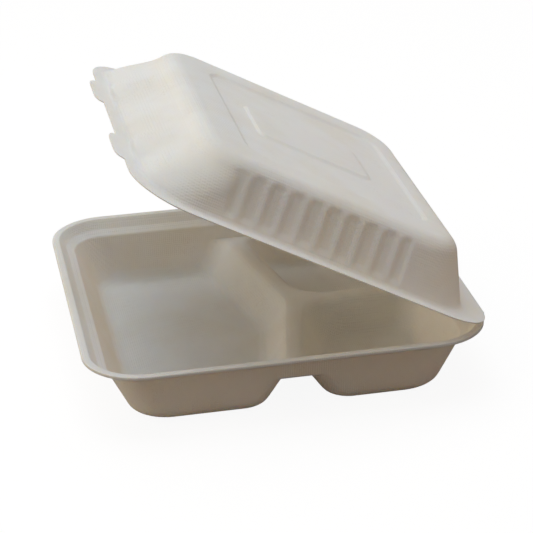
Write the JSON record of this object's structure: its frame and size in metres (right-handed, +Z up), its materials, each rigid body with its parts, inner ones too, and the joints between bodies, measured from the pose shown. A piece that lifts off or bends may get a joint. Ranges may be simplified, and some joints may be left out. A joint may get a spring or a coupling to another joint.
{
  "type": "moulded fibre clamshell food container",
  "caption": "Square hinged take-away box of pressed plant fibre with a divided tray, a stepped rim and a domed fluted lid with closing tabs.",
  "frame": {"origin": "middle of the tray's footprint, on the plane that it rests on", "axes": "+Z up, +X from the opening front towards the fold, +Y along the fold"},
  "size_m": [0.2323, 0.23, 0.1661],
  "materials": {
    "tray_fibre": "matte, fine mesh imprint",
    "lid_fibre": "matte, fine mesh imprint"
  },
  "bodies": {
    "tray": {"tray": "tray_fibre"},
    "lid": {"lid": "lid_fibre"}
  },
  "joints": [
    {"name": "lid_fold", "type": "hinge", "parent": "tray", "child": "lid", "pos_m": [0.1163, 0, 0.03965], "axis": [0, 1, 0], "range_deg": [-28.5, 151.5]}
  ]
}
